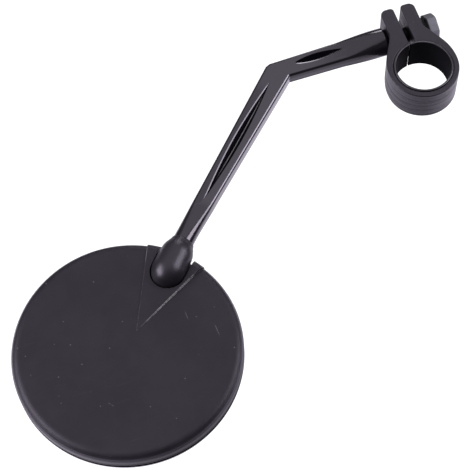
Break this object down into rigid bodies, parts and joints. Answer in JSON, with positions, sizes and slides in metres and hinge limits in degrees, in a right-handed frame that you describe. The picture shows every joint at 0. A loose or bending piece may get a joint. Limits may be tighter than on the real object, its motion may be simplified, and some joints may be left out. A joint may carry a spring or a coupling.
{
  "type": "bicycle handlebar mirror",
  "caption": "Round convex mirror on a cranked arm with a ball joint, clamped round a handlebar by a split band and hex bolt.",
  "frame": {"origin": "centre of the handlebar bore, half way along its length", "axes": "+Z along the handlebar bore (the back of the mirror head faces +Z, the glass faces -Z), +X along the clamp bolt towards its hex head, +Y from the bore towards the ears"},
  "size_m": [0.2058, 0.1479, 0.0221],
  "materials": {
    "band_plastic": "moulded black nylon with a slight sheen",
    "liner_rubber": "soft black rubber",
    "bolt_steel": "black oxide steel",
    "washer_steel": "black oxide steel, dull",
    "arm_plastic": "glossy black moulded plastic",
    "cap_plastic": "fine satin black",
    "insert_brass": "knurled brass",
    "pin_steel": "ground steel",
    "seat_nylon": "natural nylon",
    "stud_chrome": "nickel plated",
    "shell_plastic": "matte black moulded plastic",
    "foam_black": "closed-cell foam",
    "seal_rubber": "black rubber",
    "glass_mirror": "convex silvered glass",
    "bezel_plastic": "glossy black moulded plastic"
  },
  "bodies": {
    "clamp": {"clamp_band": "band_plastic", "bar_liner": "liner_rubber", "clamp_bolt": "bolt_steel", "bolt_washer": "washer_steel", "spring_washer": "washer_steel", "swivel_washer": "liner_rubber"},
    "arm": {"arm": "arm_plastic", "arm_insert": "insert_brass", "joint_cap": "cap_plastic", "cap_pin": "pin_steel", "friction_spring": "pin_steel"},
    "seat": {"ball_seat": "seat_nylon"},
    "stud": {"ball_stud": "stud_chrome", "stud_washer": "pin_steel", "stud_screw": "pin_steel"},
    "head": {"back_shell": "shell_plastic", "foam_pad": "foam_black", "glass_seal": "seal_rubber", "mirror_glass": "glass_mirror", "bezel_ring": "bezel_plastic"}
  },
  "joints": [
    {"name": "arm_swivel", "type": "hinge", "parent": "clamp", "child": "arm", "pos_m": [-0.008, 0.0209, 0], "axis": [1, 0, 0], "continuous": true},
    {"name": "head_roll", "type": "hinge", "parent": "arm", "child": "seat", "pos_m": [-0.12373, -0.04901, 0], "axis": [0.6791, 0.7341, 0], "range_deg": [-12, 12]},
    {"name": "head_tilt", "type": "hinge", "parent": "seat", "child": "stud", "pos_m": [-0.12373, -0.04901, 0], "axis": [0.7341, -0.6791, 0], "range_deg": [-14, 3]},
    {"name": "head_swing", "type": "hinge", "parent": "stud", "child": "head", "pos_m": [-0.12373, -0.04901, 0], "axis": [0, 0, 1], "range_deg": [-5, 4]}
  ]
}
